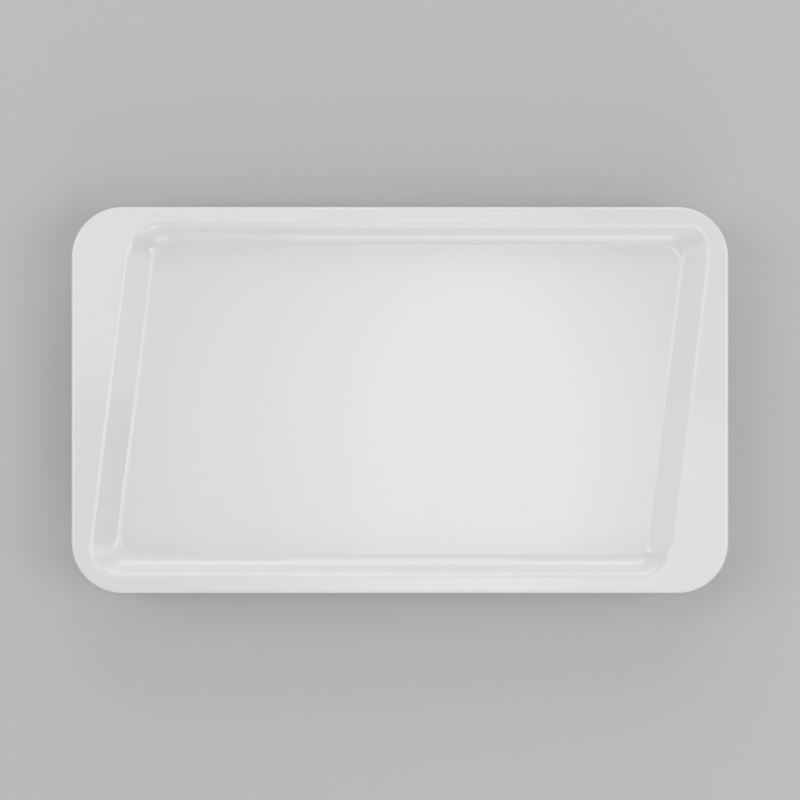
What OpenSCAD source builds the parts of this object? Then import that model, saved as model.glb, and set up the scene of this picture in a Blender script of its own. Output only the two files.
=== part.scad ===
// Wet palette: a shallow tray that holds a sponge and a membrane, closed by a lift-off lid
// whose top is dished into a mixing well. Millimetres, +Z up, the feet stand on z = 0.

/* [Lid] */
// Length of the lid
lid_l = 290; // [270:1:320]
// Width of the lid
lid_w = 170.5; // [160:0.5:190]
// Radius of the lid's corners, seen from above
lid_corner_r = 22.5; // [20:0.5:28]
// Thickness of the lid's border and of the well
lid_t = 2; // [1.6:0.1:2.4]
// Rounding along the lid's top edge
lid_edge_r = 1.5; // [0.5:0.1:1.6]
// Thickness of the lid's skirt
skirt_t = 1.8; // [1.6:0.1:2.2]
// Depth of the skirt below the lid's top
skirt_depth = 9.5; // [8:0.5:11]

/* [Mixing well] */
// Flat land between the rib and the well's long sides
side_land = 1.1; // [0.5:0.1:4]
// Flat land between the rib and the well's ends, at its two narrow corners
narrow_land = 0.5; // [0.3:0.1:8]
// Depth of the well
well_depth = 8; // [7:0.1:10]
// Slant of the well's two ends
well_slant = 7; // [3:0.5:9]
// How much tighter the crease is than the rib, in plan, at the well's two narrow corners
narrow_corner_ease = 4; // [3:0.1:4.5]
// Crease radius in plan at the well's two wide corners
wide_corner_r = 16; // [13:0.5:20]
// Radius of the floor's corners in plan
floor_corner_r = 8; // [5:0.5:12]
// Steepness of the end ramps, from level
end_slope = 36; // [30:0.5:45]
// Rounding at the top of the end ramps
end_crease_r = 2.5; // [2.5:0.1:4]
// Rounding at the foot of the end ramps
end_foot_r = 3; // [2:0.5:6]
// Steepness of the long side walls, from level
side_slope = 60; // [55:1:65]
// Rounding at the top of the long side walls
side_crease_r = 3.3; // [2.8:0.1:4]
// Rounding at the foot of the long side walls
side_foot_r = 7.2; // [6:0.1:9]

/* [Seal] */
// Thickness of the seal ring
seal_t = 2; // [1.5:0.1:2.5]
// Chamfer on the seal's lower edges
seal_chamfer = 0.3; // [0.1:0.05:0.4]
// Thickness of the rib that holds the seal on its inner side
rib_t = 1; // [0.8:0.1:1.4]
// Depth of that rib below the border
rib_depth = 3.5; // [2.5:0.1:4.5]

/* [Tray] */
// Height of the tray from its underside to its rim
tray_h = 22.4; // [20:0.2:27]
// Thickness of the tray's wall and floor
tray_t = 2; // [1.6:0.1:2.2]
// Lean of the tray's wall
tray_draft = 8; // [4:0.5:10]
// Rounding round the tray's underside
base_r = 5; // [4:0.5:7]
// Rounding on the tray's rim
rim_r = 0.6; // [0.3:0.1:0.7]
// Thickness of the ledge under the skirt
ledge_t = 1.6; // [1.4:0.1:2]
// Distance of the ledge's edge inside the lid's outline
ledge_inset = 0.4; // [0.2:0.1:1]

/* [Sponge and membrane] */
// Thickness of the sponge
sponge_t = 5; // [4:0.5:6]
// Thickness of the membrane
membrane_t = 0.3; // [0.2:0.05:0.4]
// Distance of the membrane's edge inside the sponge's
membrane_margin = 1.5; // [0.5:0.5:3]

/* [Feet] */
// Diameter of a foot
foot_d = 14; // [10:1:16]
// Height of a foot
foot_h = 2.4; // [2:0.1:3]
// Depth of the pocket that a foot sits in
pocket_depth = 0.8; // [0.5:0.1:1]
// Rounding on a foot's lower edge
foot_edge_r = 0.6; // [0.3:0.1:0.8]

/* [Fits] */
// Gap between the skirt and the tray's rim
rim_gap = 0.25; // [0.2:0.05:0.4]
// Gap between the tray's rim and the rib
rib_gap = 0.35; // [0.2:0.05:0.6]
// Gap beside the seal in its channel
seal_gap = 0.1; // [0.05:0.05:0.15]
// Gap between the skirt and the ledge
ledge_gap = 0.4; // [0.3:0.1:0.8]
// Gap between the sponge and the rounding of the tray's floor
sponge_gap = 1.5; // [1:0.5:3]
// Gap round a foot in its pocket
foot_gap = 0.1; // [0.05:0.05:0.2]

/* [Hidden] */
$fn = 64;
arc_steps = 5;
corner_steps = 12;
wall_steps = 14;
overcut = 1;
lid_colour = "#dedede";
tray_colour = "#d6d7d8";
seal_colour = "#c9d2d6";
sponge_colour = "#e8d27a";
membrane_colour = "#efe6cf";
foot_colour = "#3c3e40";

// Heights
base_z = foot_h - pocket_depth;
floor_z = base_z + tray_t;
rim_z = base_z + tray_h;
border_under_z = rim_z + seal_t;
top_z = border_under_z + lid_t;
skirt_z = top_z - skirt_depth;
ledge_top_z = skirt_z - ledge_gap;
ledge_under_z = ledge_top_z - ledge_t;
sponge_top_z = floor_z + sponge_t;

// Insets from the lid's outline
rim_outer = skirt_t + rim_gap;
rim_inner = rim_outer + tray_t;
rib_outer = rim_inner + rib_gap;
rib_inner = rib_outer + rib_t;
base_round_z = base_z + base_r;
floor_inset = rim_outer + (base_r + (ledge_top_z - base_round_z) * sin(tray_draft)) / cos(tray_draft);
sponge_inset = floor_inset + sponge_gap;

// The well's crease: half its width, half its length along y = 0, and its narrow corners
well_half_w = lid_w / 2 - rib_inner - side_land;
well_half_l = lid_l / 2 - rib_inner - narrow_land - well_half_w * tan(well_slant);
narrow_corner_r = lid_corner_r - rib_inner - narrow_corner_ease;

// Rounding at the foot of the long walls, no larger than their height has room for
side_foot = min(side_foot_r, well_depth / (1 - cos(side_slope)) - side_crease_r);

// Centres of the four corners, which the lid, seal, tray, sponge and feet share
corner_x = lid_l / 2 - lid_corner_r;
corner_y = lid_w / 2 - lid_corner_r;
quadrants = [[1, 1], [-1, 1], [-1, -1], [1, -1]];

// Points of an arc from angle a to angle b
function arc(x, y, r, a, b, steps = arc_steps) =
    [for (i = [0:steps]) let (t = a + (b - a) * i / steps) [x + r * cos(t), y + r * sin(t)]];

// Inset of the well's wall at a depth, for a ramp with a rounding at its top and at its foot
function ramp_length(slope, top_r, foot_r) = (top_r + foot_r) * tan(slope / 2) + well_depth / tan(slope);
function ramp_inset(depth, slope, top_r, foot_r) =
    let (top_end = top_r * (1 - cos(slope)))
    let (foot_start = well_depth - foot_r * (1 - cos(slope)))
    depth < top_end ? sqrt(max(0, top_r ^ 2 - (top_r - depth) ^ 2))
    : depth < foot_start ? top_r * sin(slope) + (depth - top_end) / tan(slope)
    : ramp_length(slope, top_r, foot_r) - sqrt(max(0, foot_r ^ 2 - (foot_r - well_depth + depth) ^ 2));

// Half of a rounded parallelogram, and the whole of it: its ends slant, its sides run along X
function half_outline(half_l, half_w, slant, narrow_r, wide_r) =
    concat(
        arc(half_l + (half_w - narrow_r) * tan(slant) - narrow_r / cos(slant), half_w - narrow_r,
            narrow_r, -slant, 90, corner_steps),
        arc(-half_l + (half_w - wide_r) * tan(slant) + wide_r / cos(slant), half_w - wide_r,
            wide_r, 90, 180 - slant, corner_steps));
function outline(half_l, half_w, slant, narrow_r, wide_r) =
    let (half = half_outline(half_l, half_w, slant, narrow_r, wide_r))
    concat(half, [for (p = half) -p]);

// Outline of the well at step i of its wall, 0 at the crease and wall_steps at the floor,
// for a skin that lies offset below the well's own surface
function well_level(i) = well_depth * (1 - cos(180 * i / wall_steps)) / 2;
function well_outline(i, offset) =
    let (depth = well_level(i))
    let (end = ramp_inset(depth, end_slope, end_crease_r - offset, end_foot_r + offset))
    let (side = ramp_inset(depth, side_slope, side_crease_r - offset, side_foot + offset))
    let (share = depth / well_depth)
    outline(
        well_half_l - end / cos(well_slant),
        well_half_w - side,
        well_slant,
        narrow_corner_r + (floor_corner_r - narrow_corner_r) * share,
        wide_corner_r + (floor_corner_r - wide_corner_r) * share);
function lifted(points, z) = [for (p = points) [p[0], p[1], z]];

// Closed solid through a stack of outlines that have the same number of points
module loft(outlines) {
    count = len(outlines[0]);
    last = len(outlines) - 1;
    walls = [
        for (k = [0:last - 1], i = [0:count - 1])
            let (a = k * count + i, b = k * count + (i + 1) % count)
            each [[a, b, b + count], [a, b + count, a + count]]
    ];
    first_cap = [[for (i = [count - 1:-1:0]) i]];
    last_cap = [[for (i = [0:count - 1]) last * count + i]];
    polyhedron([for (o = outlines) each o], concat(first_cap, walls, last_cap));
}

// Rounded rectangle that lies inset from the lid's outline
module inset_plate(inset, thickness) {
    linear_extrude(thickness)
        union() {
            square([2 * corner_x, lid_w - 2 * inset], center = true);
            square([lid_l - 2 * inset, 2 * corner_y], center = true);
            for (q = quadrants)
                translate([q[0] * corner_x, q[1] * corner_y])
                    circle(lid_corner_r - inset);
        }
}

// Section swept round the palette, given as [inset from the lid's outline, height]
module rim_sweep(section) {
    turned = [for (p = section) [lid_corner_r - p[0], p[1]]];
    for (k = [0:3])
        translate([quadrants[k][0] * corner_x, quadrants[k][1] * corner_y, 0])
            rotate(90 * k)
                rotate_extrude(angle = 90)
                    polygon(turned);
    for (side = [0, 1])
        rotate(180 * side)
            translate([0, corner_y, 0])
                rotate([90, 0, 90])
                    linear_extrude(2 * corner_x, center = true)
                        polygon(turned);
    for (side = [0, 1])
        rotate(180 * side + 270)
            translate([0, corner_x, 0])
                rotate([90, 0, 90])
                    linear_extrude(2 * corner_y, center = true)
                        polygon(turned);
}

// The dished part of the lid: the well's surface above, and the same surface lid_t thicker below
module well_shell() {
    upper = [for (i = [wall_steps:-1:0]) lifted(well_outline(i, 0), top_z - well_level(i))];
    lower = [for (i = [0:wall_steps]) lifted(well_outline(i, lid_t), border_under_z - well_level(i))];
    loft(concat(upper, lower));
}

// Flat border round the well, which runs into the top of the rib
module border() {
    difference() {
        translate([0, 0, border_under_z])
            inset_plate(rib_outer, lid_t);
        translate([0, 0, border_under_z - overcut])
            linear_extrude(lid_t + 2 * overcut)
                polygon(well_outline(0, 0));
    }
}

module lid() {
    section = concat(
        [[0, skirt_z]],
        arc(lid_edge_r, top_z - lid_edge_r, lid_edge_r, 180, 90),
        [
            [rib_inner, top_z],
            [rib_inner, border_under_z - rib_depth],
            [rib_outer, border_under_z - rib_depth],
            [rib_outer, border_under_z],
            [skirt_t, border_under_z],
            [skirt_t, skirt_z],
        ]);
    color(lid_colour)
        union() {
            rim_sweep(section);
            border();
            well_shell();
        }
}

module lid_seal() {
    outer = skirt_t + seal_gap;
    inner = rib_outer - seal_gap;
    color(seal_colour)
        rim_sweep([
            [outer, border_under_z],
            [outer, rim_z + seal_chamfer],
            [outer + seal_chamfer, rim_z],
            [inner - seal_chamfer, rim_z],
            [inner, rim_z + seal_chamfer],
            [inner, border_under_z],
        ]);
}

// The tray's wall, ledge and rounded foot: down the outside, and up the inside
function wall_section() =
    let (outer_top = [rim_outer + rim_r, rim_z - rim_r])
    let (inner_top = [rim_inner - rim_r, rim_z - rim_r])
    let (ledge_r = ledge_t / 3)
    let (under_ledge = rim_outer + (ledge_top_z - ledge_under_z) * tan(tray_draft))
    concat(
        arc(inner_top[0], inner_top[1], rim_r, 0, 90),
        arc(outer_top[0], outer_top[1], rim_r, 90, 180),
        [[rim_outer, ledge_top_z]],
        arc(ledge_inset + ledge_r, ledge_top_z - ledge_r, ledge_r, 90, 180),
        arc(ledge_inset + ledge_r, ledge_under_z + ledge_r, ledge_r, 180, 270),
        [[under_ledge, ledge_under_z]],
        arc(floor_inset, base_round_z, base_r, 180 + tray_draft, 270),
        arc(floor_inset, base_round_z, base_r - tray_t, 270, 180 + tray_draft),
        [[rim_inner, ledge_top_z + tray_t * tan(tray_draft / 2)]]);

module tray() {
    color(tray_colour)
        union() {
            rim_sweep(wall_section());
            difference() {
                translate([0, 0, base_z])
                    inset_plate(floor_inset, tray_t);
                for (q = quadrants)
                    translate([q[0] * corner_x, q[1] * corner_y, base_z - overcut])
                        cylinder(h = pocket_depth + overcut, d = foot_d + 2 * foot_gap);
            }
        }
}

module sponge() {
    color(sponge_colour)
        translate([0, 0, floor_z])
            inset_plate(sponge_inset, sponge_t);
}

module membrane() {
    color(membrane_colour)
        translate([0, 0, sponge_top_z])
            inset_plate(sponge_inset + membrane_margin, membrane_t);
}

// Foot at a corner, given as [sign of x, sign of y]
module foot(corner) {
    half = foot_d / 2;
    color(foot_colour)
        translate([corner[0] * corner_x, corner[1] * corner_y, 0])
            rotate_extrude()
                polygon(concat(
                    [[0, foot_h], [0, 0]],
                    arc(half - foot_edge_r, foot_edge_r, foot_edge_r, 270, 360),
                    [[half, foot_h]]));
}

lid();
lid_seal();
tray();
sponge();
membrane();
foot([-1, -1]);  // foot_front_left
foot([1, -1]);  // foot_front_right
foot([-1, 1]);  // foot_rear_left
foot([1, 1]);  // foot_rear_right
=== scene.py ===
import math
import bmesh
import bpy
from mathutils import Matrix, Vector, noise


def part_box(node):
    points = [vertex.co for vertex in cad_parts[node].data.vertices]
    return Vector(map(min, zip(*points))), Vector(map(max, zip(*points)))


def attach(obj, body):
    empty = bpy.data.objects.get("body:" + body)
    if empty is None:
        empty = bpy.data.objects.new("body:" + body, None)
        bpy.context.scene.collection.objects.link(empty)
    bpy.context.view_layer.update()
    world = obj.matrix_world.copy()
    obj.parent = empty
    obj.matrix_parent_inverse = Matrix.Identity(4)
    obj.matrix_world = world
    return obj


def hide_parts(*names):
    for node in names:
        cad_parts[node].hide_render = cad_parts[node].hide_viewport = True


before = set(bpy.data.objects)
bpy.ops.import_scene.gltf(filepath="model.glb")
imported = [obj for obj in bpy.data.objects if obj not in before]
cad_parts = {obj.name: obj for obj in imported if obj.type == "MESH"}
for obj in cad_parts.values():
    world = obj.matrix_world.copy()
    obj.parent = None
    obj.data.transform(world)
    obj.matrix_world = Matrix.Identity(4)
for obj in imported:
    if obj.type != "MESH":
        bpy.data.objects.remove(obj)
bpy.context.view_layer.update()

mm = 0.001

# The lid's outline, which every ring in the palette runs parallel to
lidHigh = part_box("lid")[1]
halfLength = lidHigh[0] / mm
halfWidth = lidHigh[1] / mm
topZ = lidHigh[2] / mm
cornerRadius = 22.5
cornerX = halfLength - cornerRadius
cornerY = halfWidth - cornerRadius
cornerSteps = 40
support = 0.25  # an extra loop this far from a rounding keeps the flat beside it flat in its shading
markSteps = 48
markEase = 0.12  # a moulding mark's rim is eased by a third of this, or of its depth where that is less


def arcPoints(x, y, radius, startDeg, endDeg, steps):
    points = []
    for i in range(steps + 1):
        turn = math.radians(startDeg + (endDeg - startDeg) * i / steps)
        points.append((x + radius * math.cos(turn), y + radius * math.sin(turn)))
    return points


def circlePoints(x, y, radius, steps):
    return arcPoints(x, y, radius, 0, 360 - 360 / steps, steps - 1)


def slantedOutline(halfL, halfW, slantDeg, narrowR, wideR):
    # rounded parallelogram: its long sides run along X, its ends lean by slantDeg
    lean = math.tan(math.radians(slantDeg))
    side = math.cos(math.radians(slantDeg))
    half = arcPoints(halfL + (halfW - narrowR) * lean - narrowR / side, halfW - narrowR,
                     narrowR, -slantDeg, 90, cornerSteps)
    half += arcPoints(-halfL + (halfW - wideR) * lean + wideR / side, halfW - wideR,
                      wideR, 90, 180 - slantDeg, cornerSteps)
    return half + [(-x, -y) for x, y in half]


def insetOutline(inset):
    # the lid's own outline, moved in by inset
    radius = cornerRadius - inset
    return slantedOutline(halfLength - inset, halfWidth - inset, 0, radius, radius)


def atHeight(outline, z):
    return [(x, y, z) for x, y in outline]


def insetRings(section):
    return [atHeight(insetOutline(inset), z) for inset, z in section]


def capWithMarks(work, ring, marks):
    # flat underside with round marks or pockets let up into it: each is (x, y, radius, depth)
    edges = [work.edges.get((ring[i], ring[(i + 1) % len(ring)])) for i in range(len(ring))]
    level = ring[0].co.z
    for x, y, radius, depth in marks:
        soft = min(markEase, depth) / 3
        loops = []
        for r, z in ((radius, 0), (radius - soft, soft), (radius - soft, depth)):
            loops.append([work.verts.new((px * mm, py * mm, level + z * mm))
                          for px, py in circlePoints(x, y, r, markSteps)])
        for outer, inner in zip(loops, loops[1:]):
            for i in range(markSteps):
                j = (i + 1) % markSteps
                work.faces.new((outer[i], outer[j], inner[j], inner[i]))
        work.faces.new(loops[-1])
        edges += [work.edges.get((loops[0][i], loops[0][(i + 1) % markSteps])) for i in range(markSteps)]
    bmesh.ops.triangle_fill(work, edges=edges, use_beauty=True)


def stackMesh(name, rings, closed=False, marks=()):
    # skin through a stack of rings: closed joins the last to the first, otherwise both ends are capped, and
    # the marks are let into the last
    work = bmesh.new()
    loops = [[work.verts.new([c * mm for c in point]) for point in ring] for ring in rings]
    count = len(loops[0])
    for k in range(len(loops) if closed else len(loops) - 1):
        lower, upper = loops[k], loops[(k + 1) % len(loops)]
        for i in range(count):
            j = (i + 1) % count
            work.faces.new((lower[i], lower[j], upper[j], upper[i]))
    if not closed:
        work.faces.new(loops[0])
        if marks:
            capWithMarks(work, loops[-1], marks)
        else:
            work.faces.new(loops[-1])
    return finishMesh(name, work)


def finishMesh(name, work):
    bmesh.ops.recalc_face_normals(work, faces=work.faces)
    for face in work.faces:
        face.smooth = True
    mesh = bpy.data.meshes.new(name)
    work.to_mesh(mesh)
    work.free()
    return mesh


def makePiece(name, mesh, material, body, node):
    piece = bpy.data.objects.new(name, mesh)
    bpy.context.collection.objects.link(piece)
    mesh.materials.append(material)
    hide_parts(node)
    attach(piece, body)
    print(name, "made:", len(mesh.polygons), "faces")
    return piece


def weightNormals(piece):
    # flat faces keep their own shading where they run into a rounding
    modifier = piece.modifiers.new("WeightedNormal", "WEIGHTED_NORMAL")
    modifier.mode = "FACE_AREA"
    modifier.weight = 100


def addNode(tree, kind, inputs=None, **attributes):
    # a node with its settings, its constants and its links in one line
    node = tree.nodes.new(kind)
    for key, value in attributes.items():
        setattr(node, key, value)
    for key, value in (inputs or {}).items():
        if isinstance(value, bpy.types.NodeSocket):
            tree.links.new(value, node.inputs[key])
        else:
            node.inputs[key].default_value = value
    return node


def addMath(tree, operation, a, b=0.0):
    return addNode(tree, "ShaderNodeMath", {0: a, 1: b}, operation=operation).outputs[0]


def remap(tree, value, fromLow, fromHigh, toLow=0.0, toHigh=1.0):
    return addNode(tree, "ShaderNodeMapRange", {
        "Value": value, "From Min": fromLow, "From Max": fromHigh, "To Min": toLow, "To Max": toHigh,
    }).outputs[0]


def mixColours(tree, share, first, second):
    node = addNode(tree, "ShaderNodeMix", {0: share}, data_type="RGBA")
    for key, value in ((6, first), (7, second)):
        if isinstance(value, bpy.types.NodeSocket):
            tree.links.new(value, node.inputs[key])
        else:
            node.inputs[key].default_value = (*value, 1)
    return node.outputs[2]


def newGroup(name, inputs, outputs):
    group = bpy.data.node_groups.new(name, "ShaderNodeTree")
    for socketName, value in inputs.items():
        socket = group.interface.new_socket(socketName, in_out="INPUT", socket_type="NodeSocketFloat")
        socket.default_value = value
    for socketName in outputs:
        group.interface.new_socket(socketName, in_out="OUTPUT", socket_type="NodeSocketFloat")
    return group, group.nodes.new("NodeGroupInput"), group.nodes.new("NodeGroupOutput")


def useGroup(tree, group, inputs):
    node = tree.nodes.new("ShaderNodeGroup")
    node.node_tree = group
    for key, value in inputs.items():
        node.inputs[key].default_value = value
    return node


finishSettings = {
    "maskRange": (0.35, 0.65),
    "scuffLines": ((0.55, 26.0), (-1.15, 34.0)),  # turn and stretch of each set of hairlines
    "scuffRange": (0.66, 0.7),
    "patchScale": 35.0,
    "patchRange": (0.42, 0.6),
}


# Slow swell of a moulded wall, as plastic sinks a little where it cools last
def makeRippleGroup():
    group, given, result = newGroup("mouldRipple", {"Scale": 20.0, "Height": 0.00002}, ["Height"])
    place = addNode(group, "ShaderNodeTexCoord").outputs["Object"]
    swell = addNode(group, "ShaderNodeTexNoise", {
        "Vector": place, "Scale": given.outputs["Scale"], "Detail": 1.0, "Roughness": 0.4,
    }).outputs[0]
    height = addMath(group, "MULTIPLY", addMath(group, "SUBTRACT", swell, 0.5), given.outputs["Height"])
    group.links.new(height, result.inputs["Height"])
    return group


# Fine even grain, as a spark-eroded mould, cast rubber or dried fibre leaves it
def makeGrainGroup():
    group, given, result = newGroup(
        "fineGrain", {"Scale": 2000.0, "Height": 0.00001, "Spread": 0.05}, ["Height", "Roughness", "Mask"])
    place = addNode(group, "ShaderNodeTexCoord").outputs["Object"]
    grain = addNode(group, "ShaderNodeTexNoise", {
        "Vector": place, "Scale": given.outputs["Scale"], "Detail": 3.0, "Roughness": 0.6,
    }).outputs[0]
    centred = addMath(group, "SUBTRACT", grain, 0.5)
    group.links.new(addMath(group, "MULTIPLY", centred, given.outputs["Height"]), result.inputs["Height"])
    group.links.new(addMath(group, "MULTIPLY", centred, given.outputs["Spread"]), result.inputs["Roughness"])
    group.links.new(remap(group, grain, *finishSettings["maskRange"]), result.inputs["Mask"])
    return group


# Hairline scuffs from brushes, cloths and tables, in two directions and in patches
def makeScuffGroup():
    s = finishSettings
    group, given, result = newGroup("handlingScuffs", {"Scale": 60.0, "Amount": 0.5}, ["Mask"])
    place = addNode(group, "ShaderNodeTexCoord").outputs["Object"]
    hairlines = []
    for turn, stretch in s["scuffLines"]:
        turned = addNode(group, "ShaderNodeMapping", {
            "Vector": place, "Rotation": (0, 0, turn), "Scale": (1, stretch, 1),
        }).outputs[0]
        line = addNode(group, "ShaderNodeTexNoise", {
            "Vector": turned, "Scale": given.outputs["Scale"], "Detail": 2.0, "Roughness": 0.7,
        }).outputs[0]
        hairlines.append(remap(group, line, *s["scuffRange"]))
    patch = addNode(group, "ShaderNodeTexNoise", {
        "Vector": place, "Scale": s["patchScale"], "Detail": 1.0}).outputs[0]
    both = addMath(group, "MAXIMUM", hairlines[0], hairlines[1])
    inPatches = addMath(group, "MULTIPLY", both, remap(group, patch, *s["patchRange"]))
    group.links.new(addMath(group, "MULTIPLY", inPatches, given.outputs["Amount"]), result.inputs["Mask"])
    return group


mouldRipple = makeRippleGroup()
fineGrain = makeGrainGroup()
handlingScuffs = makeScuffGroup()
print("finish groups made")


def newMaterial(name):
    material = bpy.data.materials.new(name)
    material.use_nodes = True
    return material, material.node_tree, material.node_tree.nodes["Principled BSDF"]


def addBump(tree, shader, height):
    bump = addNode(tree, "ShaderNodeBump", {"Height": height, "Distance": 1.0, "Strength": 1.0})
    tree.links.new(bump.outputs[0], shader.inputs["Normal"])


def mouldedFinish(name, s):
    # moulded plastic or rubber: swell, grain and scuffs over one colour
    material, tree, shader = newMaterial(name)
    shader.inputs["IOR"].default_value = s["ior"]
    ripple = useGroup(tree, mouldRipple, {"Scale": s["rippleScale"], "Height": s["rippleHeight"]})
    grain = useGroup(tree, fineGrain, {
        "Scale": s["grainScale"], "Height": s["grainHeight"], "Spread": s["roughnessSpread"]})
    scuffs = useGroup(tree, handlingScuffs, {"Scale": s["scuffScale"], "Amount": s["scuffs"]})
    cast = useGroup(tree, fineGrain, {"Scale": s["castScale"], "Height": 0.0, "Spread": 0.0})
    colour = mixColours(tree, cast.outputs["Mask"], s["colour"], s["castColour"])
    colour = mixColours(tree, scuffs.outputs["Mask"], colour, s["scuffColour"])
    tree.links.new(colour, shader.inputs["Base Color"])
    roughness = addMath(tree, "ADD", grain.outputs["Roughness"], s["roughness"])
    roughness = addMath(tree, "ADD", roughness,
                        addMath(tree, "MULTIPLY", scuffs.outputs["Mask"], s["scuffRoughness"]))
    tree.links.new(roughness, shader.inputs["Roughness"])
    height = addMath(tree, "ADD", ripple.outputs["Height"], grain.outputs["Height"])
    addBump(tree, shader, height)
    return material


lidSettings = {
    "wall": 2.0,
    "edgeRadius": 1.5,
    "lip": 0.3,  # rounding on the skirt's and the rib's lower edges
    "skirtWall": 1.8,
    "skirtDepth": 9.5,
    "ribOuter": 4.4,
    "ribInner": 5.4,
    "ribDepth": 3.5,
    "sideLand": 1.1,
    "narrowLand": 0.5,
    "wellDepth": 8.0,
    "wellSlant": 7.0,
    "narrowCornerEase": 4.0,
    "wideCorner": 16.0,
    "floorCorner": 8.0,
    "endSlope": 36.0,
    "endCrease": 2.5,
    "endFoot": 3.0,
    "sideSlope": 60.0,
    "sideCrease": 3.3,
    "sideFoot": 7.2,
    "wallSteps": 56,
    "edgeSteps": 12,
    "lipSteps": 4,
    # x, y, radius and depth of the gate's dimple and of the ejector pins' marks, under the well's floor
    "marks": [(0, 0, 1.6, 0.35)] + [(x, y, 3.0, 0.12) for x in (-84, 0, 84) for y in (-44, 44)],
    "finish": {
        "ior": 1.59,
        "colour": (0.74, 0.74, 0.74),
        "castColour": (0.735, 0.737, 0.74),
        "castScale": 9.0,
        "roughness": 0.08,
        "roughnessSpread": 0.04,
        "rippleScale": 16.0,
        "rippleHeight": 0.00008,
        "grainScale": 900.0,
        "grainHeight": 0.000001,
        "scuffScale": 55.0,
        "scuffs": 0.5,
        "scuffColour": (0.7, 0.7, 0.7),
        "scuffRoughness": 0.12,
    },
}


def rampLength(slopeDeg, topR, footR):
    slope = math.radians(slopeDeg)
    return (topR + footR) * math.tan(slope / 2) + lidSettings["wellDepth"] / math.tan(slope)


def rampInset(depth, slopeDeg, topR, footR):
    # how far in from the crease the wall of the well has come at this depth
    slope = math.radians(slopeDeg)
    fullDepth = lidSettings["wellDepth"]
    topEnd = topR * (1 - math.cos(slope))
    footStart = fullDepth - footR * (1 - math.cos(slope))
    if depth < topEnd:
        return math.sqrt(max(0, topR ** 2 - (topR - depth) ** 2))
    if depth < footStart:
        return topR * math.sin(slope) + (depth - topEnd) / math.tan(slope)
    footRise = footR - fullDepth + depth
    return rampLength(slopeDeg, topR, footR) - math.sqrt(max(0, footR ** 2 - footRise ** 2))


def wellOutline(depth, offset, grow=0.0):
    # outline of the well at this depth, for a skin that lies offset below its surface
    s = lidSettings
    slant = math.radians(s["wellSlant"])
    halfW = halfWidth - s["ribInner"] - s["sideLand"]
    halfL = halfLength - s["ribInner"] - s["narrowLand"] - halfW * math.tan(slant)
    narrowCorner = cornerRadius - s["ribInner"] - s["narrowCornerEase"]
    end = rampInset(depth, s["endSlope"], s["endCrease"] - offset, s["endFoot"] + offset) - grow
    side = rampInset(depth, s["sideSlope"], s["sideCrease"] - offset, s["sideFoot"] + offset) - grow
    share = depth / s["wellDepth"]
    return slantedOutline(
        halfL - end / math.cos(slant), halfW - side, s["wellSlant"],
        narrowCorner + (s["floorCorner"] - narrowCorner) * share + grow,
        s["wideCorner"] + (s["floorCorner"] - s["wideCorner"]) * share + grow)


def lidRings():
    # from the floor of the well, up its wall, over the border and the skirt, and back underneath
    s = lidSettings
    lip, lipSteps = s["lip"], s["lipSteps"]
    underZ = topZ - s["wall"]
    skirtZ = topZ - s["skirtDepth"]
    ribZ = underZ - s["ribDepth"]
    steps = s["wallSteps"]
    depths = [s["wellDepth"] * (1 - math.cos(math.pi * i / steps)) / 2 for i in range(steps + 1)]
    rings = [atHeight(wellOutline(s["wellDepth"], 0, -support), topZ - s["wellDepth"])]
    rings += [atHeight(wellOutline(depth, 0), topZ - depth) for depth in reversed(depths)]
    rings.append(atHeight(wellOutline(0, 0, support), topZ))
    rings += insetRings(
        [(s["edgeRadius"] + support, topZ)]
        + arcPoints(s["edgeRadius"], topZ - s["edgeRadius"], s["edgeRadius"], 90, 180, s["edgeSteps"])
        + [(0, skirtZ + lip + support)]
        + arcPoints(lip, skirtZ + lip, lip, 180, 270, lipSteps)
        + arcPoints(s["skirtWall"] - lip, skirtZ + lip, lip, 270, 360, lipSteps)
        + [(s["skirtWall"], skirtZ + lip + support), (s["skirtWall"], underZ - support),
           (s["skirtWall"], underZ), (s["skirtWall"] + support, underZ),
           (s["ribOuter"] - support, underZ), (s["ribOuter"], underZ), (s["ribOuter"], underZ - support)]
        + arcPoints(s["ribOuter"] + lip, ribZ + lip, lip, 180, 270, lipSteps)
        + arcPoints(s["ribInner"] - lip, ribZ + lip, lip, 270, 360, lipSteps)
        + [(s["ribInner"], underZ - support), (s["ribInner"], underZ)])
    rings += [atHeight(wellOutline(depth, s["wall"]), underZ - depth) for depth in depths]
    rings.append(atHeight(wellOutline(s["wellDepth"], s["wall"], -support), underZ - s["wellDepth"]))
    return rings


lidMesh = stackMesh("lidShell", lidRings(), marks=lidSettings["marks"])
lidPlastic = mouldedFinish("lidPlastic", lidSettings["finish"])
weightNormals(makePiece("lidShell", lidMesh, lidPlastic, "lid", "lid"))

sealSettings = {
    "gap": 0.1,
    "lipRadius": 0.5,  # two round lips run along the lower face, with a groove between them
    "lipSteps": 6,
    "grooveDepth": 0.7,
    "finish": {
        "ior": 1.41,
        "colour": (0.58, 0.63, 0.66),
        "castColour": (0.64, 0.69, 0.71),
        "castScale": 30.0,
        "roughness": 0.42,
        "roughnessSpread": 0.12,
        "rippleScale": 60.0,
        "rippleHeight": 0.00004,
        "grainScale": 3200.0,
        "grainHeight": 0.000006,
        "scuffScale": 90.0,
        "scuffs": 0.25,
        "scuffColour": (0.72, 0.74, 0.75),
        "scuffRoughness": 0.2,
    },
}


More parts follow.
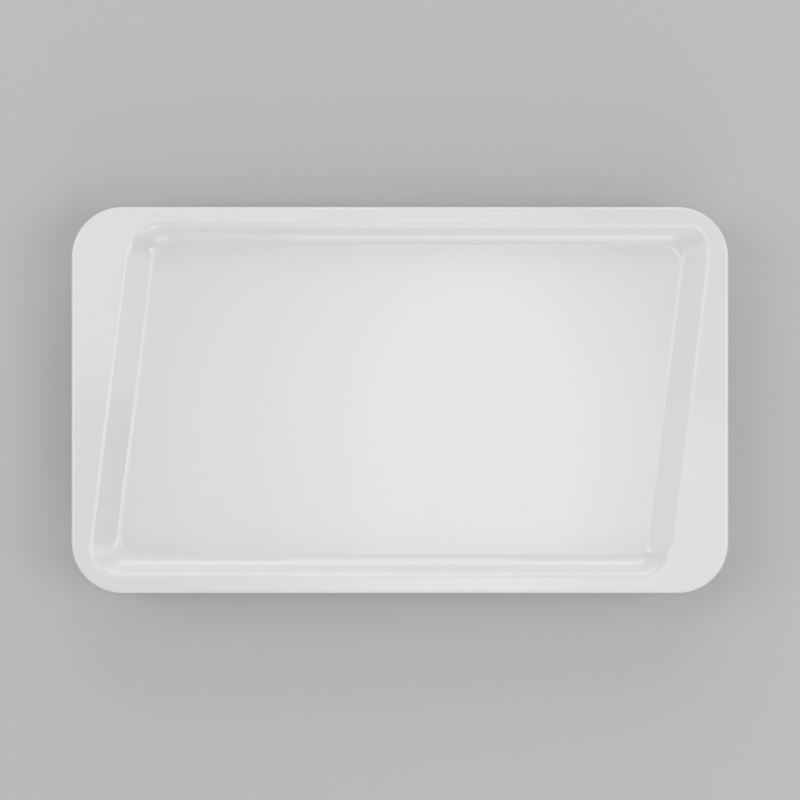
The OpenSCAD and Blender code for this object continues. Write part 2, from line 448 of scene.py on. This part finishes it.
def sealSection():
    s = sealSettings
    low, high = (corner[2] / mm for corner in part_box("lid_seal"))
    outer = lidSettings["skirtWall"] + s["gap"]
    inner = lidSettings["ribOuter"] - s["gap"]
    r = s["lipRadius"]
    middle = (outer + inner) / 2
    grooveHalf = middle - outer - 2 * r
    return ([(outer, high)]
            + arcPoints(outer + r, low + r, r, 180, 360, 2 * s["lipSteps"])
            + [(middle - grooveHalf, low + s["grooveDepth"]), (middle + grooveHalf, low + s["grooveDepth"])]
            + arcPoints(inner - r, low + r, r, 180, 360, 2 * s["lipSteps"])
            + [(inner, high)])


sealMesh = stackMesh("sealRing", insetRings(sealSection()), closed=True)
sealRubber = mouldedFinish("sealSilicone", sealSettings["finish"])
weightNormals(makePiece("sealRing", sealMesh, sealRubber, "lid", "lid_seal"))

traySettings = {
    "wall": 2.0,
    "draft": 8.0,
    "baseRadius": 5.0,
    "rimRadius": 0.6,
    "rimGap": 0.25,
    "ledge": 1.6,
    "ledgeInset": 0.4,
    "ledgeGap": 0.4,
    "pocketDiameter": 14.2,
    "pocketDepth": 0.8,
    "insideSteps": 10,
    "rimSteps": 8,
    "ledgeSteps": 5,
    "baseSteps": 12,
    # x, y, radius and depth of the ejector pins' marks and of the gate's dimple, under the tray's floor
    "marks": [(x, y, 3.0, 0.12) for x in (-96, -32, 32, 96) for y in (-42, 42)],
    "gate": (0, 0, 1.6, 0.35),
    "finish": {
        "ior": 1.59,
        "colour": (0.7, 0.7, 0.71),
        "castColour": (0.69, 0.695, 0.71),
        "castScale": 11.0,
        "roughness": 0.24,
        "roughnessSpread": 0.1,
        "rippleScale": 18.0,
        "rippleHeight": 0.00006,
        "grainScale": 1500.0,
        "grainHeight": 0.000008,
        "scuffScale": 65.0,
        "scuffs": 0.6,
        "scuffColour": (0.64, 0.64, 0.64),
        "scuffRoughness": 0.15,
    },
}


def trayRings():
    # from the inside floor, up and over the rim, down past the ledge and round to the underside
    s = traySettings
    low, high = (corner[2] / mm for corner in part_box("tray"))
    draft = math.radians(s["draft"])
    wall, base, rim = s["wall"], s["baseRadius"], s["rimRadius"]
    rimOuter = lidSettings["skirtWall"] + s["rimGap"]
    rimInner = rimOuter + wall
    ledgeTop = topZ - lidSettings["skirtDepth"] - s["ledgeGap"]
    ledgeLow = ledgeTop - s["ledge"]
    roundZ = low + base
    floorInset = rimOuter + (base + (ledgeTop - roundZ) * math.sin(draft)) / math.cos(draft)
    ledgeR = s["ledge"] / 3  # both edges of the ledge are eased
    turnEnd = 180 + s["draft"]
    bendZ = ledgeTop + wall * math.tan(draft / 2)
    return insetRings(
        [(floorInset + support, low + wall)]
        + arcPoints(floorInset, roundZ, base - wall, 270, turnEnd, s["insideSteps"])
        + [(rimInner, bendZ), (rimInner, high - rim - support)]
        + arcPoints(rimInner - rim, high - rim, rim, 0, 90, s["rimSteps"])
        + arcPoints(rimOuter + rim, high - rim, rim, 90, 180, s["rimSteps"])
        + [(rimOuter, high - rim - support), (rimOuter, ledgeTop + support), (rimOuter, ledgeTop),
           (rimOuter - support, ledgeTop)]
        + arcPoints(s["ledgeInset"] + ledgeR, ledgeTop - ledgeR, ledgeR, 90, 180, s["ledgeSteps"])
        + arcPoints(s["ledgeInset"] + ledgeR, ledgeLow + ledgeR, ledgeR, 180, 270, s["ledgeSteps"])
        + [(rimOuter + s["ledge"] * math.tan(draft), ledgeLow)]
        + arcPoints(floorInset, roundZ, base, turnEnd, 270, s["baseSteps"])
        + [(floorInset + support, low)])


pockets = [(x, y, traySettings["pocketDiameter"] / 2, traySettings["pocketDepth"])
           for x in (-cornerX, cornerX) for y in (-cornerY, cornerY)]
trayMarks = pockets + traySettings["marks"] + [traySettings["gate"]]
trayMesh = stackMesh("trayShell", trayRings(), marks=trayMarks)
trayPlastic = mouldedFinish("trayPlastic", traySettings["finish"])
weightNormals(makePiece("trayShell", trayMesh, trayPlastic, "tray", "tray"))

footSettings = {
    "edge": 0.6,
    "edgeSupport": 0.1,
    "edgeSteps": 6,
    "grooves": (2.4, 4.4),  # radius of each ring cut into the foot's face, so that it grips
    "grooveWidth": 0.7,
    "grooveDepth": 0.35,
    "steps": 72,
    "finish": {
        "ior": 1.52,
        "colour": (0.045, 0.046, 0.05),
        "castColour": (0.06, 0.06, 0.062),
        "castScale": 120.0,
        "roughness": 0.72,
        "roughnessSpread": 0.2,
        "rippleScale": 150.0,
        "rippleHeight": 0.00002,
        "grainScale": 2600.0,
        "grainHeight": 0.00002,
        "scuffScale": 160.0,
        "scuffs": 0.6,
        "scuffColour": (0.16, 0.155, 0.15),
        "scuffRoughness": 0.1,
    },
}


def footMesh(name, x, y, low, high):
    # turned profile, from the edge of the top down the side and in across the grooved face
    s = footSettings
    radius = (high[0] - low[0]) / 2 / mm
    footLow, footHigh = low[2] / mm, high[2] / mm
    edge = s["edge"]
    profile = [(radius, footHigh), (radius, footLow + edge + s["edgeSupport"])]
    profile += arcPoints(radius - edge, footLow + edge, edge, 0, -90, s["edgeSteps"])
    ease = s["grooveDepth"] / 3
    for grooveR in reversed(s["grooves"]):
        outer, inner = grooveR + s["grooveWidth"] / 2, grooveR - s["grooveWidth"] / 2
        profile += [(outer + ease, footLow), (outer, footLow + ease), (outer, footLow + s["grooveDepth"]),
                    (inner, footLow + s["grooveDepth"]), (inner, footLow + ease), (inner - ease, footLow)]
    rings = [atHeight(circlePoints(x, y, r, s["steps"]), z) for r, z in profile]
    return stackMesh(name, rings)


footRubber = mouldedFinish("footRubber", footSettings["finish"])
for node in ("foot_front_left", "foot_front_right", "foot_rear_left", "foot_rear_right"):
    low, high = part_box(node)
    side, end = node.split("_")[1:]
    name = "foot" + side.capitalize() + end.capitalize()
    mesh = footMesh(name, (low[0] + high[0]) / 2 / mm, (low[1] + high[1]) / 2 / mm, low, high)
    weightNormals(makePiece(name, mesh, footRubber, "tray", node))


def slabMesh(name, low, high, radius, columns, rows, layers, shape):
    # fine slab with rounded corners in plan: shape moves each point, given its place and its part of the slab
    halfL, halfW = high[0] / mm, high[1] / mm

    def inPlan(u, v):
        # a corner of the grid's square is eased on to the corner's arc
        x, y = abs(u) * halfL, abs(v) * halfW
        p, q = (x - halfL + radius) / radius, (y - halfW + radius) / radius
        if p > 0 and q > 0:
            x = halfL - radius + radius * p * math.sqrt(1 - q * q / 2)
            y = halfW - radius + radius * q * math.sqrt(1 - p * p / 2)
        return math.copysign(x, u), math.copysign(y, v)

    work = bmesh.new()
    sheets = []
    for layer in range(layers + 1):
        level = layer / layers
        inner = 0 < layer < layers
        sheet = {}
        for i in range(columns + 1):
            for j in range(rows + 1):
                edge = i in (0, columns) or j in (0, rows)
                if inner and not edge:
                    continue
                x, y = inPlan(2 * i / columns - 1, 2 * j / rows - 1)
                z = (low[2] + (high[2] - low[2]) * level) / mm
                sheet[i, j] = work.verts.new([c * mm for c in shape(x, y, z, level, edge)])
        sheets.append(sheet)
    for sheet in (sheets[0], sheets[-1]):
        for i in range(columns):
            for j in range(rows):
                work.faces.new((sheet[i, j], sheet[i + 1, j], sheet[i + 1, j + 1], sheet[i, j + 1]))
    rim = ([(i, 0) for i in range(columns)] + [(columns, j) for j in range(rows)]
           + [(i, rows) for i in range(columns, 0, -1)] + [(0, j) for j in range(rows, 0, -1)])
    for lower, upper in zip(sheets, sheets[1:]):
        for k, a in enumerate(rim):
            b = rim[(k + 1) % len(rim)]
            work.faces.new((lower[a], lower[b], upper[b], upper[a]))
    return finishMesh(name, work)


spongeSettings = {
    "pores": ((5.5, 0.75), (2.6, 0.4)),  # size of the cells and depth of the pits, for large and small pores
    "poreEdge": 0.42,  # a pit starts this far from its cell's middle, as a share of the cell
    "poreSlope": 0.6,  # below 1 a pit is steepest at its rim
    "cutWave": 0.35,
    "cutWaveSize": 30.0,
    "softEdge": 0.5,
    "softEdgeSlope": 4,
    "columns": 230,
    "rows": 128,
    "layers": 5,
    "colour": (0.78, 0.58, 0.2),
    # the pits' colour is painted shade, mixed in by pitShade where the large cells sink
    "paintedPitShadeColour": (0.5, 0.31, 0.07),
    "dryColour": (0.86, 0.7, 0.34),
    "cells": ((420.0, 0.0009), (1500.0, 0.00035)),  # scale and height, for large and small cells
    "cellRange": (0.15, 0.5),
    "pitShade": 0.75,
    "roughness": 0.8,
    "grain": {"Scale": 4200.0, "Height": 0.00008, "Spread": 0.14},
    "mottle": {"Scale": 55.0, "Height": 0.0, "Spread": 0.0},
}


def poreDepth(x, y, z):
    depth = 0
    for size, pit in spongeSettings["pores"]:
        near = noise.voronoi(Vector((x, y, z)) / size)[0][0]
        depth += pit * max(0, 1 - near / spongeSettings["poreEdge"]) ** spongeSettings["poreSlope"]
    return depth


def spongeShape(x, y, z, level, edge):
    # pits go in from each face, and the cut edges are a little soft and wavy
    s = spongeSettings
    pit = poreDepth(x, y, z)
    if edge:
        wave = 0.5 + 0.5 * noise.noise(Vector((x, y, 0)) / s["cutWaveSize"])
        inward = pit + s["softEdge"] * (2 * abs(level - 0.5)) ** s["softEdgeSlope"] + s["cutWave"] * wave
        reach = math.hypot(x, y)
        return x - x / reach * inward, y - y / reach * inward, z
    if level in (0, 1):
        return x, y, z + pit * (1 if level == 0 else -1)
    return x, y, z


def spongeFinish(s):
    # open cells at two sizes over a damp, mottled body, with painted shade darkening the large cells' pits
    material, tree, shader = newMaterial("spongeCellulose")
    place = addNode(tree, "ShaderNodeTexCoord").outputs["Object"]
    heights = []
    for scale, height in s["cells"]:
        cell = addNode(tree, "ShaderNodeTexVoronoi", {"Vector": place, "Scale": scale}).outputs["Distance"]
        heights.append(addMath(tree, "MULTIPLY", remap(tree, cell, *s["cellRange"]), height))
    grain = useGroup(tree, fineGrain, s["grain"])
    mottle = useGroup(tree, fineGrain, s["mottle"])
    body = mixColours(tree, mottle.outputs["Mask"], s["colour"], s["dryColour"])
    # painted shade: the body darkens towards a deep orange in the large cells' pits, where their shadow would
    # fall
    pit = remap(tree, heights[0], 0.0, s["cells"][0][1], 1.0, 0.0)
    colour = mixColours(tree, addMath(tree, "MULTIPLY", pit, s["pitShade"]), body, s["paintedPitShadeColour"])
    tree.links.new(colour, shader.inputs["Base Color"])
    roughness = addMath(tree, "ADD", grain.outputs["Roughness"], s["roughness"])
    tree.links.new(roughness, shader.inputs["Roughness"])
    height = addMath(tree, "ADD", addMath(tree, "ADD", heights[0], heights[1]), grain.outputs["Height"])
    addBump(tree, shader, height)
    return material


spongeLow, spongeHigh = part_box("sponge")
spongeRadius = cornerRadius - (halfLength - spongeHigh[0] / mm)
spongeMesh = slabMesh("spongePad", spongeLow, spongeHigh, spongeRadius, spongeSettings["columns"],
                      spongeSettings["rows"], spongeSettings["layers"], spongeShape)
spongeCellulose = spongeFinish(spongeSettings)
spongePad = makePiece("spongePad", spongeMesh, spongeCellulose, "sponge", "sponge")

membraneSettings = {
    "thickness": 0.14,
    "clear": 0.03,  # the sheet rides this far above the sponge where it lies lowest
    "cockle": 0.55,
    "cockleSizes": ((38.0, 0.65), (17.0, 0.35)),  # length and share of each wave
    "cockleSeed": 3.7,
    "edgeCurl": 0.5,
    "edgeWidth": 7.0,
    "columns": 200,
    "rows": 112,
    "colour": (0.86, 0.79, 0.63),
    "wetColour": (0.76, 0.67, 0.48),
    "fibreColour": (0.93, 0.89, 0.78),
    "dampScale": 24.0,
    "dampRange": (0.4, 0.62),
    "roughness": (0.62, 0.4),  # where the paper is dry, and where it is damp
    "fibreScale": 260.0,
    "fibreTurn": 0.5,
    "fibreStretch": 9,
    "fibreRange": (0.55, 0.7),
    "fibreShade": 0.5,
    "fibreHeight": 0.00002,
    "grain": {"Scale": 2600.0, "Height": 0.000025, "Spread": 0.16},
}


def membraneShape(x, y, z, level, edge):
    # damp paper cockles in shallow waves, and its edges curl up a little
    s = membraneSettings
    halfL, halfW = membraneHigh[0] / mm, membraneHigh[1] / mm
    place = Vector((x, y, s["cockleSeed"]))
    wave = sum(share * (0.5 + 0.5 * noise.noise(place / size)) for size, share in s["cockleSizes"])
    toEdge = min(halfL - abs(x), halfW - abs(y))
    curl = s["edgeCurl"] * max(0, 1 - toEdge / s["edgeWidth"]) ** 2
    lift = s["clear"] + s["cockle"] * wave + curl + s["thickness"] * level
    return x, y, membraneLow[2] / mm + lift


def membraneFinish(s):
    # thin parchment: damp patches, long fibres and a fine tooth
    material, tree, shader = newMaterial("membranePaper")
    place = addNode(tree, "ShaderNodeTexCoord").outputs["Object"]
    damp = addNode(tree, "ShaderNodeTexNoise", {
        "Vector": place, "Scale": s["dampScale"], "Detail": 3.0}).outputs[0]
    turned = addNode(tree, "ShaderNodeMapping", {
        "Vector": place, "Rotation": (0, 0, s["fibreTurn"]), "Scale": (1, s["fibreStretch"], 1)}).outputs[0]
    fibre = addNode(tree, "ShaderNodeTexNoise", {
        "Vector": turned, "Scale": s["fibreScale"], "Detail": 4.0, "Roughness": 0.7, "Distortion": 0.8,
    }).outputs[0]
    fibreMask = remap(tree, fibre, *s["fibreRange"])
    grain = useGroup(tree, fineGrain, s["grain"])
    colour = mixColours(tree, remap(tree, damp, *s["dampRange"]), s["colour"], s["wetColour"])
    colour = mixColours(tree, addMath(tree, "MULTIPLY", fibreMask, s["fibreShade"]), colour, s["fibreColour"])
    tree.links.new(colour, shader.inputs["Base Color"])
    wetness = remap(tree, damp, *s["dampRange"], *s["roughness"])
    tree.links.new(addMath(tree, "ADD", grain.outputs["Roughness"], wetness), shader.inputs["Roughness"])
    fibreHeight = addMath(tree, "MULTIPLY", fibreMask, s["fibreHeight"])
    height = addMath(tree, "ADD", grain.outputs["Height"], fibreHeight)
    addBump(tree, shader, height)
    return material


membraneLow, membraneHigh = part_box("membrane")
membraneRadius = cornerRadius - (halfLength - membraneHigh[0] / mm)
membraneMesh = slabMesh("membraneSheet", membraneLow, membraneHigh, membraneRadius,
                        membraneSettings["columns"], membraneSettings["rows"], 1, membraneShape)
membranePaper = membraneFinish(membraneSettings)
membraneSheet = makePiece("membraneSheet", membraneMesh, membranePaper, "membrane", "membrane")

stageSettings = {
    "floorSize": 2.5,
    "floorColour": (0.5, 0.51, 0.52),
    "floorRoughness": 0.9,
    "airLevel": 0.02,
    "airSides": 1.0,
    "backdrop": 0.55,  # tone of the wall behind the floor
}
cameraSettings = {
    "focal": 100.0,
    "sensor": 36.0,
    "frameWidth": 352.7,  # millimetres across the frame at the lid's top
}
# Soft panels stand round the palette: each has its range of tilt from overhead in degrees, and its span
# along its side in metres
panelReach = 1.3
panelHeight = 0.02
panelSides = {"right": (1, 0), "left": (-1, 0), "back": (0, 1), "front": (0, -1)}
panelSettings = {
    "rightStrip": {"side": "right", "tilt": (20, 56), "span": (-0.18, 0.18), "radiance": 2.55},
    "rightLow": {"side": "right", "tilt": (56, 80), "span": (-0.18, 0.18), "radiance": 0.9},
    "rightFront": {"side": "right", "tilt": (35, 60), "span": (-0.6, -0.18), "radiance": 3.0},
    "rightRear": {"side": "right", "tilt": (35, 60), "span": (0.18, 0.6), "radiance": 0.8},
    "rightRearLow": {"side": "right", "tilt": (60, 85), "span": (0.18, 0.6), "radiance": 1.4},
    "leftStrip": {"side": "left", "tilt": (20, 56), "span": (-0.18, 0.18), "radiance": 2.1},
    "leftLow": {"side": "left", "tilt": (56, 80), "span": (-0.18, 0.18), "radiance": 1.1},
    "leftFront": {"side": "left", "tilt": (35, 60), "span": (-0.6, -0.18), "radiance": 0.6},
    "leftFrontLow": {"side": "left", "tilt": (60, 85), "span": (-0.6, -0.18), "radiance": 1.0},
    "leftRear": {"side": "left", "tilt": (35, 60), "span": (0.18, 0.6), "radiance": 2.9},
    "leftRearLow": {"side": "left", "tilt": (60, 85), "span": (0.18, 0.6), "radiance": 0.8},
    "frontLow": {"side": "front", "tilt": (54, 72), "span": (-0.12, 0.75), "radiance": 1.55},
    "frontSkim": {"side": "front", "tilt": (72, 88), "span": (-0.12, 0.75), "radiance": 0.55},
    "frontMiddle": {"side": "front", "tilt": (24, 54), "span": (-0.12, 0.6), "radiance": 0.6},
    "frontHighRight": {"side": "front", "tilt": (8, 24), "span": (0.4, 0.75), "radiance": 1.0},
    "backLow": {"side": "back", "tilt": (54, 72), "span": (-0.75, 0.75), "radiance": 1.55},
    "backSkim": {"side": "back", "tilt": (72, 88), "span": (-0.75, 0.75), "radiance": 0.55},
    "backMiddle": {"side": "back", "tilt": (24, 54), "span": (-0.12, 0.12), "radiance": 1.05},
    "backHighLeft": {"side": "back", "tilt": (8, 24), "span": (-0.75, -0.4), "radiance": 1.2},
}
# Level panels overhead, at separate heights where they overlap: three ovals, each wider than the last, give
# one glow that fades softly, and the bars light two corners of the border
overheadSettings = {
    "overNarrow": {
        "shape": "ELLIPSE", "place": (0.09, -0.06, 1.94), "size": (0.32, 0.5), "radiance": 0.5},
    "overMiddle": {
        "shape": "ELLIPSE", "place": (0.07, -0.06, 1.97), "size": (0.48, 0.62), "radiance": 0.5},
    "overWide": {
        "shape": "ELLIPSE", "place": (0.04, -0.06, 2.0), "size": (0.68, 0.74), "radiance": 0.5},
    "overRearLeft": {
        "shape": "RECTANGLE", "place": (-0.42, 0.3, 2.03), "size": (0.6, 0.16), "radiance": 0.8},
    "overLeftRear": {
        "shape": "RECTANGLE", "place": (-0.46, 0.12, 2.03), "size": (0.22, 0.2), "radiance": 0.8},
    "overFrontRight": {
        "shape": "RECTANGLE", "place": (0.51, -0.3, 2.03), "size": (0.42, 0.16), "radiance": 0.8},
    "overRightFront": {
        "shape": "RECTANGLE", "place": (0.46, -0.12, 2.03), "size": (0.22, 0.2), "radiance": 0.8},
}


def makeFloor():
    half = stageSettings["floorSize"] / 2
    mesh = bpy.data.meshes.new("floor")
    corners = [(-half, -half, 0), (half, -half, 0), (half, half, 0), (-half, half, 0)]
    mesh.from_pydata(corners, [], [(0, 1, 2, 3)])
    floor = bpy.data.objects.new("floor", mesh)
    bpy.context.collection.objects.link(floor)
    material, _, shader = newMaterial("floorPaper")
    shader.inputs["Base Color"].default_value = (*stageSettings["floorColour"], 1)
    shader.inputs["Roughness"].default_value = stageSettings["floorRoughness"]
    mesh.materials.append(material)


def makeAir():
    # studio air that grows brighter towards the front and the back, as in a light tent, before a plain wall
    s = stageSettings
    world = bpy.data.worlds.new("studioAir")
    bpy.context.scene.world = world
    world.use_nodes = True
    tree = world.node_tree
    way = addNode(tree, "ShaderNodeTexCoord").outputs["Generated"]
    across = addNode(tree, "ShaderNodeSeparateXYZ", {0: way}).outputs[1]
    sides = addMath(tree, "MULTIPLY", addMath(tree, "MULTIPLY", across, across), s["airSides"])
    level = addMath(tree, "ADD", sides, s["airLevel"])
    seen = addNode(tree, "ShaderNodeLightPath").outputs["Is Camera Ray"]
    shown = addNode(tree, "ShaderNodeMix", {0: seen, 2: level, 3: s["backdrop"]}).outputs[0]
    background = tree.nodes["Background"]
    background.inputs["Color"].default_value = (1, 1, 1, 1)
    tree.links.new(shown, background.inputs["Strength"])


def makePanel(name, s, place, size, shape, aim=None):
    # a panel with nothing to aim at lies level and shines down
    light = bpy.data.lights.new(name, "AREA")
    light.shape = shape
    light.size, light.size_y = size
    light.energy = s["radiance"] * math.pi * size[0] * size[1]
    panel = bpy.data.objects.new(name, light)
    panel.location = place
    if aim:
        panel.rotation_euler = (aim - place).to_track_quat("-Z", "Y").to_euler()
    bpy.context.collection.objects.link(panel)


def makeLamps():
    for name, s in panelSettings.items():
        low, high = (math.radians(tilt) for tilt in s["tilt"])
        first, last = s["span"]
        middle = (first + last) / 2
        x, y = panelSides[s["side"]]
        aim = Vector((middle * abs(y), middle * abs(x), panelHeight))
        out = panelReach * math.sin((low + high) / 2)
        place = aim + Vector((x * out, y * out, panelReach * math.cos((low + high) / 2)))
        size = (last - first, 2 * panelReach * math.tan((high - low) / 2))
        makePanel(name, s, place, size, "RECTANGLE", aim)
    for name, s in overheadSettings.items():
        makePanel(name, s, Vector(s["place"]), s["size"], s["shape"])


def makeCamera():
    s = cameraSettings
    data = bpy.data.cameras.new("camera")
    data.lens = s["focal"]
    data.sensor_width = s["sensor"]
    camera = bpy.data.objects.new("camera", data)
    camera.location = (0, 0, (topZ + s["frameWidth"] * s["focal"] / s["sensor"]) * mm)
    bpy.context.collection.objects.link(camera)
    bpy.context.scene.camera = camera


makeFloor()
makeAir()
makeLamps()
makeCamera()
bpy.context.scene.view_settings.view_transform = "Standard"
print("floor, air, lamps and camera made")
